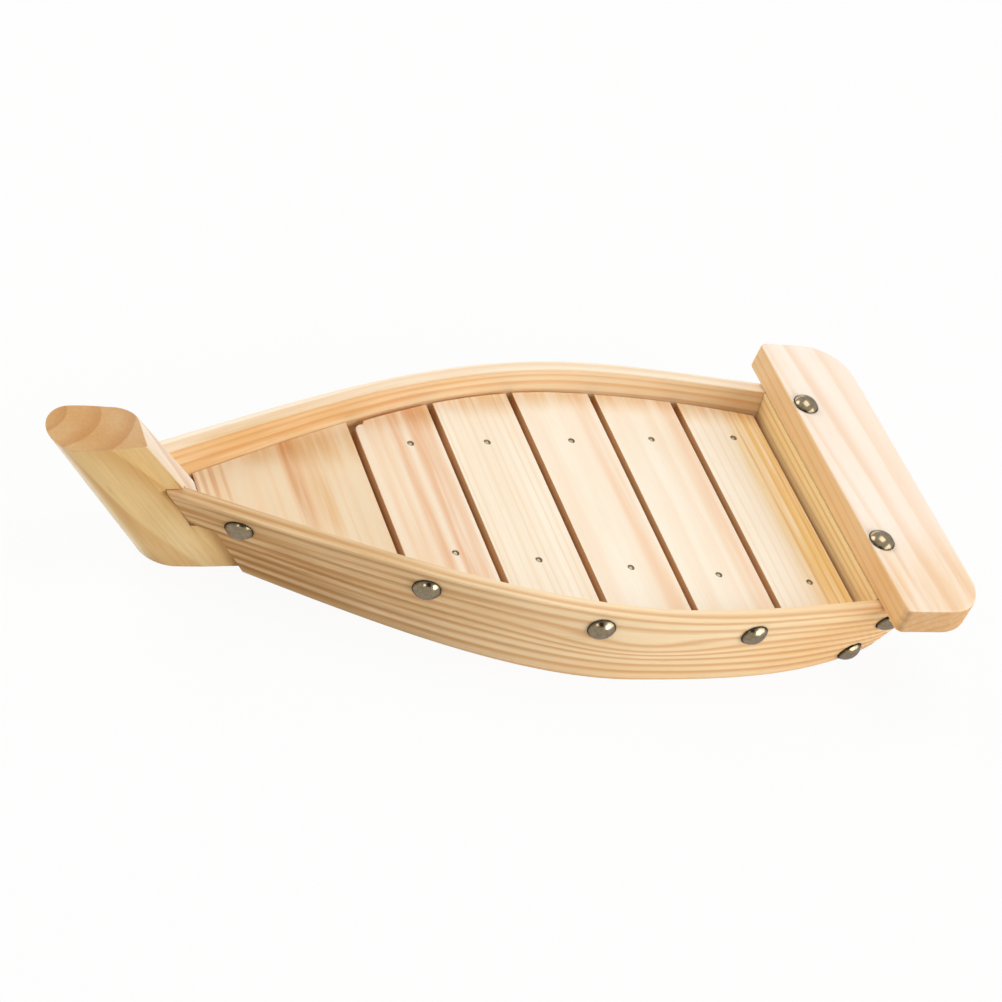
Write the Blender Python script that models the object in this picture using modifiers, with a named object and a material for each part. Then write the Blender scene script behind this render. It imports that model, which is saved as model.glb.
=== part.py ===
# A wooden sushi boat: bent sides let into a raked stem, a nailed plank deck, a transom and a stern board
import math

import bmesh
import bpy
from mathutils import Vector

# Driving dimensions in metres: X runs from bow to stern, Y to starboard, Z up from the table
OVERALL_LENGTH = 0.370
CLEARANCE = 0.0003

# Side boards: half-breadths of the inner face at the stem, at the widest place and at the transom
SIDE_HEIGHT = 0.038
SIDE_THICKNESS = 0.006
SIDE_OVERHANG = 0.0078
SIDE_HEEL_RADIUS = 0.004
TOP_BOW_SETBACK = 0.05244
TOP_BOW_HALF = 0.0086
TOP_BOW_SLOPE = 0.432
TOP_BEAM_HALF = 0.0674
TOP_BEAM_SETBACK = 0.0838
TOP_STERN_HALF = 0.06045
TOP_STERN_SLOPE = -0.107
BASE_BOW_SETBACK = 0.08702
BASE_BOW_HALF = 0.0076
BASE_BOW_SLOPE = 0.564
BASE_BEAM_HALF = 0.0625
BASE_BEAM_SETBACK = 0.0966
BASE_STERN_HALF = 0.0514
BASE_STERN_SLOPE = -0.336

# Bow stem: a bar leaning forward that deepens to a level foot, with a round nose and a slightly sloped top
STEM_HEIGHT = 0.058
STEM_FRONT_LEAN = math.radians(40.5)
STEM_BACK_LEAN = math.radians(44.4)
STEM_TOP_RUN = 0.0342
STEM_TOP_SLOPE = 0.09
STEM_NOSE_SHARE = 0.31
STEM_HALF_WIDTH = 0.0120
STEM_BACK_HALF_WIDTH = 0.0108
STEM_PORT_RADIUS = 0.0012
STEM_STARBOARD_RADIUS = 0.0075

# Stepped rabbet in each flank of the stem: the upper part of a side board runs further in than the lower
RABBET_UPPER_DEPTH = 0.0103
RABBET_LOWER_DEPTH = 0.0010
RABBET_STEP_HEIGHT = 0.0208
SHOULDER_LEAN = math.radians(38.6)

# Deck
DECK_HEIGHT = 0.0283
DECK_THICKNESS = 0.007
DECK_EASE = 0.0004
PLANK_COUNT = 5
PLANK_WIDTH = 0.0356
PLANK_GAP = 0.003
TRANSOM_GAP = 0.0026
PLANK_CORNER_RADIUS = 0.004
BATTEN_WIDTH = 0.012
BATTEN_THICKNESS = 0.008
BATTEN_END_SETBACK = 0.003
BATTEN_HALF_SPACING = 0.0357
BATTEN_SPLAY = math.radians(4.5)

# Stern
TRANSOM_THICKNESS = 0.012
STERN_BOARD_DEPTH = 0.0398
STERN_BOARD_LENGTH = 0.1576
STERN_BOARD_THICKNESS = 0.012
STERN_BOARD_AFT_RADIUS = 0.019
STERN_BOARD_FRONT_RADIUS = 0.003
STERN_BOARD_EASE = 0.001

# Dome-headed tacks and countersunk brads
TACK_HEAD_DIAMETER = 0.011
TACK_HEAD_HEIGHT = 0.0032
TACK_SHANK_DIAMETER = 0.0016
TACK_SHANK_LENGTH = 0.0145
TACK_POINT_LENGTH = 0.002
TACKS_PER_RUN = 5
TACK_RISE = 0.0007
TACK_DIP = math.radians(17)
BOW_TACK_SETBACK = 0.0118
STERN_TACK_SETBACK = 0.0086
HEEL_TACK_SETBACK = 0.0032
HEEL_TACK_HEIGHT = 0.0067
TOP_TACK_SETBACK = 0.0057
TOP_TACK_HALF_SPACING = 0.0399
BRAD_HEAD_DIAMETER = 0.0024
BRAD_HEAD_HEIGHT = 0.0008
BRAD_SHANK_DIAMETER = 0.0013
BRAD_LENGTH = 0.0135
BRAD_RECESS = 0.0004
BRAD_SHIFTS = (0.0037, -0.0006, -0.0002, -0.0004, 0.0018)

# Facets
STATION_PITCH = 0.0085
HULL_ROWS = 6
CORNER_STEPS = 6
ROUND_STEPS = 20
DOME_STEPS = 4
HOLE_STEPS = 12
SHARP_ANGLE = math.radians(40)
FLAT_ANGLE = math.radians(0.03)
WELD_DISTANCE = 0.00001
SLOPE_STEP = 0.0005

# Places that follow from the dimensions
BOW_X = -OVERALL_LENGTH / 2
STERN_X = OVERALL_LENGTH / 2
TRANSOM_X = STERN_X - STERN_BOARD_DEPTH
SIDE_END_X = TRANSOM_X + TRANSOM_THICKNESS + SIDE_OVERHANG
STEM_NOSE_HEIGHT = STEM_HEIGHT - STEM_TOP_SLOPE * STEM_TOP_RUN
DECK_UNDERSIDE = DECK_HEIGHT - DECK_THICKNESS
PLANK_PITCH = PLANK_WIDTH + PLANK_GAP
FIRST_PLANK_X = TRANSOM_X - TRANSOM_GAP - PLANK_COUNT * PLANK_PITCH + PLANK_GAP
TACK_HEIGHT = DECK_HEIGHT + TACK_RISE
PORT = -1
STARBOARD = 1
SIDE_NAMES = {PORT: "port", STARBOARD: "starboard"}
MARGIN = 0.004


def stem_back(z):
    return BOW_X + STEM_TOP_RUN + math.tan(STEM_BACK_LEAN) * (STEM_HEIGHT - z)


def stem_front(z):
    return BOW_X + math.tan(STEM_FRONT_LEAN) * (STEM_NOSE_HEIGHT - z)


def hermite(x, x0, y0, slope0, x1, y1, slope1):
    span = x1 - x0
    t = (x - x0) / span
    start = (2 * t**3 - 3 * t**2 + 1) * y0 + (t**3 - 2 * t**2 + t) * span * slope0
    end = (3 * t**2 - 2 * t**3) * y1 + (t**3 - t**2) * span * slope1
    return start + end


def half_breadth(x, bow, beam, stern):
    # Each edge is two cubic spans that meet, level, at the widest place
    beam_x, beam_half = beam
    if x < beam_x:
        return hermite(x, *bow, beam_x, beam_half, 0)
    return hermite(x, beam_x, beam_half, 0, *stern)


def top_half(x):
    bow = (BOW_X + TOP_BOW_SETBACK, TOP_BOW_HALF, TOP_BOW_SLOPE)
    beam = (TRANSOM_X - TOP_BEAM_SETBACK, TOP_BEAM_HALF)
    return half_breadth(x, bow, beam, (TRANSOM_X, TOP_STERN_HALF, TOP_STERN_SLOPE))


def base_half(x):
    bow = (BOW_X + BASE_BOW_SETBACK, BASE_BOW_HALF, BASE_BOW_SLOPE)
    beam = (TRANSOM_X - BASE_BEAM_SETBACK, BASE_BEAM_HALF)
    return half_breadth(x, bow, beam, (TRANSOM_X, BASE_STERN_HALF, BASE_STERN_SLOPE))


def flare(x):
    return (top_half(x) - base_half(x)) / SIDE_HEIGHT


def inner_half(x, z):
    return base_half(x) + flare(x) * z


def plan_slope(x, z):
    return (inner_half(x + SLOPE_STEP, z) - inner_half(x - SLOPE_STEP, z)) / (2 * SLOPE_STEP)


def offset_half(x, z, offset):
    # Half-breadth of a face that lies a square distance outside the inner face
    return inner_half(x, z) + offset * math.sqrt(1 + plan_slope(x, z)**2 + flare(x)**2)


def outward(x, z, side):
    return Vector((-plan_slope(x, z), side, -flare(x))).normalized()


def arc(centre, radius, start, end, steps=CORNER_STEPS):
    points = []
    for i in range(steps + 1):
        angle = math.radians(start + (end - start) * i / steps)
        points.append((centre[0] + radius * math.cos(angle), centre[1] + radius * math.sin(angle)))
    return points


def spaced(start, end, count):
    return [start + (end - start) * i / count for i in range(count + 1)]


def stations(start, end):
    # Places along X on one common grid, so that pieces that follow the hull share its facets
    least = STATION_PITCH / 5
    first, last = math.floor(start / STATION_PITCH), math.ceil(end / STATION_PITCH)
    grid = [i * STATION_PITCH for i in range(first, last)]
    return [start] + [x for x in grid if start + least < x < end - least] + [end]


def make_collection(name):
    found = bpy.data.collections.new(name)
    bpy.context.scene.collection.children.link(found)
    return found


def make_material(name, colour, roughness, metallic=0.0):
    material = bpy.data.materials.new(name)
    material.use_nodes = True
    shader = material.node_tree.nodes["Principled BSDF"]
    shader.inputs["Base Color"].default_value = (*colour, 1)
    shader.inputs["Roughness"].default_value = roughness
    shader.inputs["Metallic"].default_value = metallic
    return material


def evaluated_mesh(holder):
    # The mesh that a helper object evaluates to, with loose caps welded, and the helper removed
    bpy.context.scene.collection.objects.link(holder)
    depsgraph = bpy.context.evaluated_depsgraph_get()
    mesh = bpy.data.meshes.new_from_object(holder.evaluated_get(depsgraph))
    bpy.data.objects.remove(holder)
    bm = bmesh.new()
    bm.from_mesh(mesh)
    bmesh.ops.remove_doubles(bm, verts=bm.verts, dist=WELD_DISTANCE)
    bmesh.ops.dissolve_limit(bm, angle_limit=FLAT_ANGLE, verts=bm.verts, edges=bm.edges)
    bmesh.ops.recalc_face_normals(bm, faces=bm.faces)
    bm.to_mesh(mesh)
    bm.free()
    return mesh


def outline_mesh(name, points, thickness):
    curve = bpy.data.curves.new(name, "CURVE")
    curve.dimensions = "2D"
    curve.fill_mode = "BOTH"
    curve.extrude = thickness / 2
    spline = curve.splines.new("POLY")
    spline.points.add(len(points) - 1)
    for point, (x, y) in zip(spline.points, points):
        point.co = (x, y, 0, 1)
    spline.use_cyclic_u = True
    mesh = evaluated_mesh(bpy.data.objects.new(name, curve))
    mesh.shade_flat()
    return mesh


def turned_mesh(name, profile, steps=ROUND_STEPS):
    # A profile of (radius, height) points, from top to bottom, turned about Z
    mesh = bpy.data.meshes.new(name)
    edges = [(i, i + 1) for i in range(len(profile) - 1)]
    mesh.from_pydata([(radius, 0, height) for radius, height in profile], edges, [])
    holder = bpy.data.objects.new(name, mesh)
    screw = holder.modifiers.new("Turn", "SCREW")
    screw.steps = steps
    screw.render_steps = steps
    screw.use_merge_vertices = True
    screw.merge_threshold = WELD_DISTANCE
    return evaluated_mesh(holder)


def loft_mesh(name, sections):
    # Closed skin through rings of equal count, in triangles because its four-sided faces would twist
    bm = bmesh.new()
    rings = [[bm.verts.new(point) for point in section] for section in sections]
    for ring, following in zip(rings, rings[1:]):
        for i in range(len(ring)):
            j = (i + 1) % len(ring)
            bm.faces.new((ring[i], ring[j], following[j], following[i]))
    bmesh.ops.triangulate(bm, faces=bm.faces)
    bm.faces.new(rings[0])
    bm.faces.new(rings[-1])
    bmesh.ops.recalc_face_normals(bm, faces=bm.faces)
    mesh = bpy.data.meshes.new(name)
    bm.to_mesh(mesh)
    bm.free()
    return mesh


def add_part(name, mesh, material, location=(0, 0, 0)):
    mesh.materials.clear()
    mesh.materials.append(material)
    part = bpy.data.objects.new(name, mesh)
    part.location = location
    part.parent = boat
    parts.objects.link(part)
    return part


def add_cutter(name, mesh, group, location=(0, 0, 0)):
    cutter = bpy.data.objects.new(name, mesh)
    cutter.location = location
    cutter.hide_render = True
    cutter.display_type = "WIRE"
    group.objects.link(cutter)
    return cutter


def boolean(part, operation, cutter):
    modifier = part.modifiers.new(operation.title(), "BOOLEAN")
    modifier.operation = operation
    modifier.solver = "EXACT"
    if isinstance(cutter, bpy.types.Collection):
        modifier.operand_type = "COLLECTION"
        modifier.collection = cutter
    else:
        modifier.object = cutter


def ease(part, width, segments=2):
    modifier = part.modifiers.new("Ease", "BEVEL")
    modifier.width = width
    modifier.segments = segments
    modifier.limit_method = "ANGLE"
    modifier.angle_limit = SHARP_ANGLE


def side_view_cutter(name, points, group):
    # An outline drawn in X and Z, carried right across the boat
    cutter = add_cutter(name, outline_mesh(name, points, 2 * STERN_BOARD_LENGTH), group)
    cutter.rotation_euler.x = math.radians(90)
    return cutter


def hull_sections(start, end, inner_offset, outer_offset, side, low, high):
    rows = spaced(low, high, HULL_ROWS)
    sections = []
    for x in stations(start, end):
        inner = [(x, side * offset_half(x, z, inner_offset), z) for z in rows]
        outer = [(x, side * offset_half(x, z, outer_offset), z) for z in reversed(rows)]
        sections.append(inner + outer)
    return sections


def interior_sections(start, end, low, high):
    # The space between the side boards, a clearance inside their inner faces
    rows = spaced(low, high, HULL_ROWS)
    sections = []
    for x in stations(start, end):
        port = [(x, -offset_half(x, z, -CLEARANCE), z) for z in rows]
        starboard = [(x, offset_half(x, z, -CLEARANCE), z) for z in reversed(rows)]
        sections.append(port + starboard)
    return sections


def shoulder(z, depth):
    # The depth is measured from the stem's back at the step
    return stem_back(RABBET_STEP_HEIGHT) - depth - math.tan(SHOULDER_LEAN) * (z - RABBET_STEP_HEIGHT)


def upper_shoulder(z):
    return shoulder(z, RABBET_UPPER_DEPTH)


def lower_shoulder(z):
    return shoulder(z, RABBET_LOWER_DEPTH)


def build_side_board(side):
    name = SIDE_NAMES[side] + "_side_board"
    low, high = -MARGIN, SIDE_HEIGHT + MARGIN
    sections = hull_sections(upper_shoulder(high), SIDE_END_X + MARGIN, 0, SIDE_THICKNESS, side, low, high)
    board = add_part(name, loft_mesh(name, sections), pine_side)
    heel = arc((SIDE_END_X - SIDE_HEEL_RADIUS, SIDE_HEEL_RADIUS), SIDE_HEEL_RADIUS, -90, 0)
    step = RABBET_STEP_HEIGHT
    outline = [(lower_shoulder(0), 0), *heel, (SIDE_END_X, SIDE_HEIGHT),
               (upper_shoulder(SIDE_HEIGHT), SIDE_HEIGHT), (upper_shoulder(step), step),
               (lower_shoulder(step), step)]
    boolean(board, "INTERSECT", side_view_cutter(name + "_outline", outline, shapers))
    boolean(board, "DIFFERENCE", tack_holes)


def build_rabbet(side):
    name = SIDE_NAMES[side] + "_rabbet"
    gap = CLEARANCE / math.cos(SHOULDER_LEAN)
    low, step, high = -MARGIN, RABBET_STEP_HEIGHT - CLEARANCE, SIDE_HEIGHT + CLEARANCE
    aft = stem_back(low)
    sections = hull_sections(upper_shoulder(high) - MARGIN, aft, -CLEARANCE, STEM_HALF_WIDTH, side,
                             low - MARGIN, high + MARGIN)
    rabbet = add_cutter(name, loft_mesh(name, sections), rabbets)
    outline = [(lower_shoulder(low) - gap, low), (aft + MARGIN, low), (aft + MARGIN, high),
               (upper_shoulder(high) - gap, high), (upper_shoulder(step) - gap, step),
               (lower_shoulder(step) - gap, step)]
    boolean(rabbet, "INTERSECT", side_view_cutter(name + "_outline", outline, shapers))


def back_corner(radius):
    # Quarter round from the back to the flank, as a share of the depth and a half-width
    reach = radius / math.cos(STEM_BACK_LEAN) / (stem_back(STEM_HEIGHT) - stem_front(STEM_HEIGHT))
    turned = arc((0, 0), 1, 0, 90)
    return [(reach * (1 - x), STEM_BACK_HALF_WIDTH - radius * (1 - y)) for x, y in turned]


def stem_half(radius):
    # Half of the level section, from the back corner along the flank and round the nose
    half = back_corner(radius)
    start, end = half[-1][0], 1 - STEM_NOSE_SHARE
    for share in spaced(0, 1, CORNER_STEPS)[1:-1]:
        swell = math.sin(share * math.pi / 2)
        width = STEM_BACK_HALF_WIDTH + (STEM_HALF_WIDTH - STEM_BACK_HALF_WIDTH) * swell
        half.append((start + (end - start) * share, width))
    for angle in spaced(0, math.pi / 2, 2 * CORNER_STEPS)[:-1]:
        half.append((end + STEM_NOSE_SHARE * math.sin(angle), STEM_HALF_WIDTH * math.cos(angle)))
    return half


def stem_section():
    starboard = stem_half(STEM_STARBOARD_RADIUS)
    port = [(share, -half) for share, half in reversed(stem_half(STEM_PORT_RADIUS))]
    return starboard + [(1, 0)] + port


def stem_rise(share):
    # Where the straight line up the stem at this share of its depth starts, and how far it leans back
    start = stem_back(0) + (stem_front(0) - stem_back(0)) * share
    lean = math.tan(STEM_BACK_LEAN) + (math.tan(STEM_FRONT_LEAN) - math.tan(STEM_BACK_LEAN)) * share
    return start, -lean


def build_stem():
    foot, top = [], []
    for share, y in stem_section():
        start, lean = stem_rise(share)
        foot.append((start, y, 0))
        fall = STEM_TOP_SLOPE * (start - stem_back(STEM_HEIGHT))
        height = (STEM_HEIGHT + fall) / (1 - STEM_TOP_SLOPE * lean)
        top.append((start + lean * height, y, height))
    stem = add_part("bow_stem", loft_mesh("bow_stem", [foot, top]), pine_stem)
    boolean(stem, "DIFFERENCE", rabbets)


def build_bow_deck():
    low, high = DECK_UNDERSIDE, DECK_HEIGHT
    gap = CLEARANCE / math.cos(STEM_BACK_LEAN)
    aft = FIRST_PLANK_X - PLANK_GAP
    sections = interior_sections(stem_back(high) - MARGIN, aft + MARGIN, low - MARGIN, high + MARGIN)
    deck = add_part("bow_deck_board", loft_mesh("bow_deck_board", sections), pine_bow_deck)
    outline = [(stem_back(low) + gap, low), (aft, low), (aft, high), (stem_back(high) + gap, high)]
    boolean(deck, "INTERSECT", side_view_cutter("bow_deck_outline", outline, shapers))
    boolean(deck, "DIFFERENCE", tack_holes)


def plank_outline(start, end, corner_radius):
    # The ends are sawn upright to the hull curve at the underside, so they just clear the flared boards
    edge = [(x, inner_half(x, DECK_UNDERSIDE) - CLEARANCE) for x in stations(start, end)]
    if corner_radius:
        corner = (start + corner_radius, inner_half(start, DECK_UNDERSIDE) - CLEARANCE - corner_radius)
        past = [point for point in edge if point[0] > start + corner_radius]
        edge = arc(corner, corner_radius, 180, 90) + past
    return edge + [(x, -y) for x, y in reversed(edge)]


def build_plank(index):
    name = "deck_plank_%d" % (index + 1)
    start = FIRST_PLANK_X + index * PLANK_PITCH
    corner_radius = PLANK_CORNER_RADIUS if index == 0 else 0
    outline = plank_outline(start, start + PLANK_WIDTH, corner_radius)
    local = [(x - start, y) for x, y in outline]
    middle = DECK_HEIGHT - DECK_THICKNESS / 2
    plank = add_part(name, outline_mesh(name, local, DECK_THICKNESS), pine_deck, (start, 0, middle))
    ease(plank, DECK_EASE)
    boolean(plank, "DIFFERENCE", tack_holes)
    boolean(plank, "DIFFERENCE", brad_holes)


def brad_place(index, side):
    x = FIRST_PLANK_X + index * PLANK_PITCH + PLANK_WIDTH / 2 + BRAD_SHIFTS[index]
    return Vector((x, side * batten_half(x), DECK_HEIGHT - BRAD_RECESS))


def deck_middle():
    return FIRST_PLANK_X + (PLANK_COUNT * PLANK_PITCH - PLANK_GAP) / 2


def batten_half(x):
    return BATTEN_HALF_SPACING + math.tan(BATTEN_SPLAY) * (x - deck_middle())


def build_batten(side):
    name = SIDE_NAMES[side] + "_deck_batten"
    length = (PLANK_COUNT * PLANK_PITCH - PLANK_GAP - 2 * BATTEN_END_SETBACK) / math.cos(BATTEN_SPLAY)
    bm = bmesh.new()
    bmesh.ops.create_cube(bm, size=1)
    bmesh.ops.scale(bm, vec=(length, BATTEN_WIDTH, BATTEN_THICKNESS), verts=bm.verts)
    mesh = bpy.data.meshes.new(name)
    bm.to_mesh(mesh)
    bm.free()
    middle = DECK_UNDERSIDE - CLEARANCE - BATTEN_THICKNESS / 2
    batten = add_part(name, mesh, pine_batten, (deck_middle(), side * BATTEN_HALF_SPACING, middle))
    batten.rotation_euler.z = side * BATTEN_SPLAY
    ease(batten, DECK_EASE)
    boolean(batten, "DIFFERENCE", brad_holes)


def build_transom():
    aft = TRANSOM_X + TRANSOM_THICKNESS
    sections = interior_sections(TRANSOM_X - MARGIN, aft + MARGIN, -MARGIN, SIDE_HEIGHT + MARGIN)
    transom = add_part("transom_board", loft_mesh("transom_board", sections), pine_transom)
    outline = [(TRANSOM_X, 0), (aft, 0), (aft, SIDE_HEIGHT), (TRANSOM_X, SIDE_HEIGHT)]
    boolean(transom, "INTERSECT", side_view_cutter("transom_outline", outline, shapers))
    boolean(transom, "DIFFERENCE", tack_holes)


def build_stern_board():
    half = STERN_BOARD_LENGTH / 2
    front, aft = STERN_BOARD_FRONT_RADIUS, STERN_BOARD_AFT_RADIUS
    depth = STERN_BOARD_DEPTH
    outline = [*arc((front, half - front), front, 180, 90), *arc((depth - aft, half - aft), aft, 90, 0),
               *arc((depth - aft, aft - half), aft, 0, -90), *arc((front, front - half), front, -90, -180)]
    mesh = outline_mesh("stern_top_board", outline, STERN_BOARD_THICKNESS)
    middle = SIDE_HEIGHT + CLEARANCE + STERN_BOARD_THICKNESS / 2
    board = add_part("stern_top_board", mesh, pine_stern, (TRANSOM_X, 0, middle))
    ease(board, STERN_BOARD_EASE, 3)
    boolean(board, "DIFFERENCE", tack_holes)


def tack_profile(shank_depth):
    radius, height = TACK_HEAD_DIAMETER / 2, TACK_HEAD_HEIGHT
    ball = (radius**2 + height**2) / (2 * height)
    spread = math.asin(radius / ball)
    dome = []
    for i in range(DOME_STEPS + 1):
        angle = spread * i / DOME_STEPS
        dome.append((ball * math.sin(angle), height - ball + ball * math.cos(angle)))
    shank = TACK_SHANK_DIAMETER / 2
    return dome + [(shank, 0), (shank, TACK_POINT_LENGTH - shank_depth), (0, -shank_depth)]


def build_tack(name, seat, normal, drive):
    # The head lies flat on its face, while the shank follows the direction it was driven in
    turn = normal.to_track_quat("Z", "Y")
    local = turn.inverted() @ drive
    mesh = turned_mesh(name, tack_profile(-local.z * TACK_SHANK_LENGTH))
    for vertex in mesh.vertices:
        if vertex.co.z < -CLEARANCE:
            vertex.co.x += vertex.co.z * local.x / local.z
            vertex.co.y += vertex.co.z * local.y / local.z
    tack = add_part(name, mesh, antique_metal, seat + normal * CLEARANCE)
    tack.rotation_euler = turn.to_euler()
    mesh.shade_smooth()
    mesh.set_sharp_from_angle(angle=SHARP_ANGLE)
    hole = bmesh.new()
    reach = TACK_SHANK_LENGTH + CLEARANCE
    radius = TACK_SHANK_DIAMETER / 2 + CLEARANCE
    bmesh.ops.create_cone(hole, cap_ends=True, segments=HOLE_STEPS, radius1=radius, radius2=radius,
                          depth=reach + MARGIN)
    hole_mesh = bpy.data.meshes.new(name + "_hole")
    hole.to_mesh(hole_mesh)
    hole.free()
    cutter = add_cutter(name + "_hole", hole_mesh, tack_holes, seat + drive * (reach - MARGIN) / 2)
    cutter.rotation_euler = drive.to_track_quat("Z", "Y").to_euler()


def side_tack_places():
    # An even run along the deck from the stem to the transom, and one low in the heel of the transom
    bow = stem_back(TACK_HEIGHT) + BOW_TACK_SETBACK
    stern = TRANSOM_X + STERN_TACK_SETBACK
    places = [(x, TACK_HEIGHT) for x in spaced(bow, stern, TACKS_PER_RUN - 1)]
    return places + [(TRANSOM_X + HEEL_TACK_SETBACK, HEEL_TACK_HEIGHT)]


def build_side_tacks(side):
    for number, (x, z) in enumerate(side_tack_places(), 1):
        seat = Vector((x, side * offset_half(x, z, SIDE_THICKNESS), z))
        drive = Vector((0, -side * math.cos(TACK_DIP), -math.sin(TACK_DIP)))
        build_tack("%s_side_tack_%d" % (SIDE_NAMES[side], number), seat, outward(x, z, side), drive)


def build_stern_tack(side):
    top = SIDE_HEIGHT + CLEARANCE + STERN_BOARD_THICKNESS
    seat = Vector((TRANSOM_X + TOP_TACK_SETBACK, side * TOP_TACK_HALF_SPACING, top))
    up = Vector((0, 0, 1))
    build_tack(SIDE_NAMES[side] + "_stern_tack", seat, up, -up)


def brad_profile(gap, lift):
    head = BRAD_HEAD_DIAMETER / 2 + gap
    shank = BRAD_SHANK_DIAMETER / 2 + gap
    neck = -BRAD_HEAD_HEIGHT - gap
    tip = -BRAD_LENGTH - gap
    return [(0, lift), (head, lift), (head, neck), (shank, neck), (shank, tip), (0, tip)]


def build_brad(index, side):
    name = "%s_deck_brad_%d" % (SIDE_NAMES[side], index + 1)
    place = brad_place(index, side)
    brad = turned_mesh(name, brad_profile(0, 0), HOLE_STEPS)
    add_part(name, brad, brad_metal, place)
    hole = turned_mesh(name + "_hole", brad_profile(CLEARANCE, MARGIN), HOLE_STEPS)
    add_cutter(name + "_hole", hole, brad_holes, place)


for old in list(bpy.data.objects):
    bpy.data.objects.remove(old)

parts = make_collection("sushi_boat")
shapers = make_collection("outlines")
rabbets = make_collection("stem_rabbets")
tack_holes = make_collection("tack_holes")
brad_holes = make_collection("brad_holes")
boat = bpy.data.objects.new("sushi_boat", None)
parts.objects.link(boat)

pine_side = make_material("pine_side", (0.76, 0.56, 0.33), 0.55)
pine_stem = make_material("pine_stem", (0.78, 0.58, 0.35), 0.55)
pine_deck = make_material("pine_deck", (0.86, 0.70, 0.48), 0.55)
pine_bow_deck = make_material("pine_bow_deck", (0.85, 0.68, 0.45), 0.55)
pine_batten = make_material("pine_batten", (0.74, 0.56, 0.35), 0.6)
pine_transom = make_material("pine_transom", (0.75, 0.54, 0.29), 0.55)
pine_stern = make_material("pine_stern", (0.88, 0.72, 0.53), 0.55)
antique_metal = make_material("antique_metal", (0.36, 0.33, 0.26), 0.3, 1.0)
brad_metal = make_material("brad_metal", (0.42, 0.40, 0.35), 0.45, 1.0)

build_stern_board()
build_transom()
build_bow_deck()
build_stem()
for plank_index in range(PLANK_COUNT):
    build_plank(plank_index)
for hand in (PORT, STARBOARD):
    build_rabbet(hand)
    build_side_board(hand)
    build_batten(hand)
    build_side_tacks(hand)
    build_stern_tack(hand)
    for plank_index in range(PLANK_COUNT):
        build_brad(plank_index, hand)
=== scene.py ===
import math

import bmesh
import bpy
from mathutils import Matrix, Vector


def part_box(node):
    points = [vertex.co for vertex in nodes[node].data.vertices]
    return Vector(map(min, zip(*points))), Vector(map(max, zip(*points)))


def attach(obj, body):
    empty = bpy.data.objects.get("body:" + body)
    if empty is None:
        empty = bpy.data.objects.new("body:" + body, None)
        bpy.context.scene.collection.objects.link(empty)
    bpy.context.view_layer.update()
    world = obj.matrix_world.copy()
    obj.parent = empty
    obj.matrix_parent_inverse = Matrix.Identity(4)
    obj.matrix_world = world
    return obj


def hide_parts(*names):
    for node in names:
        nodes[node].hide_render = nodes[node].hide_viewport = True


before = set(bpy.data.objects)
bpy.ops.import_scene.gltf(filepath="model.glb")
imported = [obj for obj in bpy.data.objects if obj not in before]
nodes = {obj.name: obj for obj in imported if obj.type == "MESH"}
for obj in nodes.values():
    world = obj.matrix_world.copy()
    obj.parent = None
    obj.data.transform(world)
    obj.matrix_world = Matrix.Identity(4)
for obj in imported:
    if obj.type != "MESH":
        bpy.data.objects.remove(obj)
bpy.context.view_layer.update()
scene = bpy.context.scene
print("frame loaded:", len(nodes), "nodes")


def tone(red, green, blue):
    # 0 to 255 screen colour to the linear colour that a shader takes
    parts = []
    for value in (red, green, blue):
        share = value / 255
        parts.append(share / 12.92 if share < 0.04045 else ((share + 0.055) / 1.055) ** 2.4)
    return (*parts, 1)


# camera at the photo's angle, for a square image

viewSettings = {
    "azimuth": -34.95,
    "elevation": 37.94,
    "roll": 25.14,
    "distance": 1.0561,
    "sensor": 36,
    "lens": 96.6,
    "aim": (-0.012456, -0.019393),  # picture centre, right and up of the origin, in metres
}


def makeCamera(s):
    azimuth, elevation, roll = (math.radians(s[key]) for key in ("azimuth", "elevation", "roll"))
    back = Vector((math.sin(azimuth) * math.cos(elevation), -math.cos(azimuth) * math.cos(elevation),
                   math.sin(elevation)))
    level = Vector((math.cos(azimuth), math.sin(azimuth), 0))
    upright = back.cross(level)
    right = math.cos(roll) * level + math.sin(roll) * upright
    up = -math.sin(roll) * level + math.cos(roll) * upright
    turn = Matrix((right, up, back)).transposed().to_4x4()
    turn.translation = -s["aim"][0] * right - s["aim"][1] * up + s["distance"] * back
    data = bpy.data.cameras.new("photoCamera")
    data.sensor_width = s["sensor"]
    data.lens = s["lens"]
    camera = bpy.data.objects.new("photoCamera", data)
    camera.matrix_world = turn
    scene.collection.objects.link(camera)
    scene.camera = camera


makeCamera(viewSettings)
scene.view_settings.view_transform = "Standard"
print("camera set")


# node helpers

def feed(tree, socket, source):
    if isinstance(source, bpy.types.NodeSocket):
        tree.links.new(source, socket)
    else:
        socket.default_value = source


def maths(tree, operation, *sources):
    made = tree.nodes.new("ShaderNodeMath")
    made.operation = operation
    for socket, source in zip(made.inputs, sources):
        feed(tree, socket, source)
    return made.outputs[0]


def vectorMaths(tree, operation, *sources):
    made = tree.nodes.new("ShaderNodeVectorMath")
    made.operation = operation
    for socket, source in zip(made.inputs, sources):
        feed(tree, socket, source)
    return made.outputs["Value" if operation in ("DOT_PRODUCT", "LENGTH") else "Vector"]


def scaleVector(tree, vector, factor):
    made = tree.nodes.new("ShaderNodeVectorMath")
    made.operation = "SCALE"
    feed(tree, made.inputs[0], vector)
    feed(tree, made.inputs["Scale"], factor)
    return made.outputs[0]


def blendColour(tree, amount, first, second, mode="MIX"):
    # sockets 6 and 7 in and 2 out are the mix node's colours
    made = tree.nodes.new("ShaderNodeMix")
    made.data_type = "RGBA"
    made.blend_type = mode
    feed(tree, made.inputs["Factor"], amount)
    feed(tree, made.inputs[6], first)
    feed(tree, made.inputs[7], second)
    return made.outputs[2]


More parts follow.
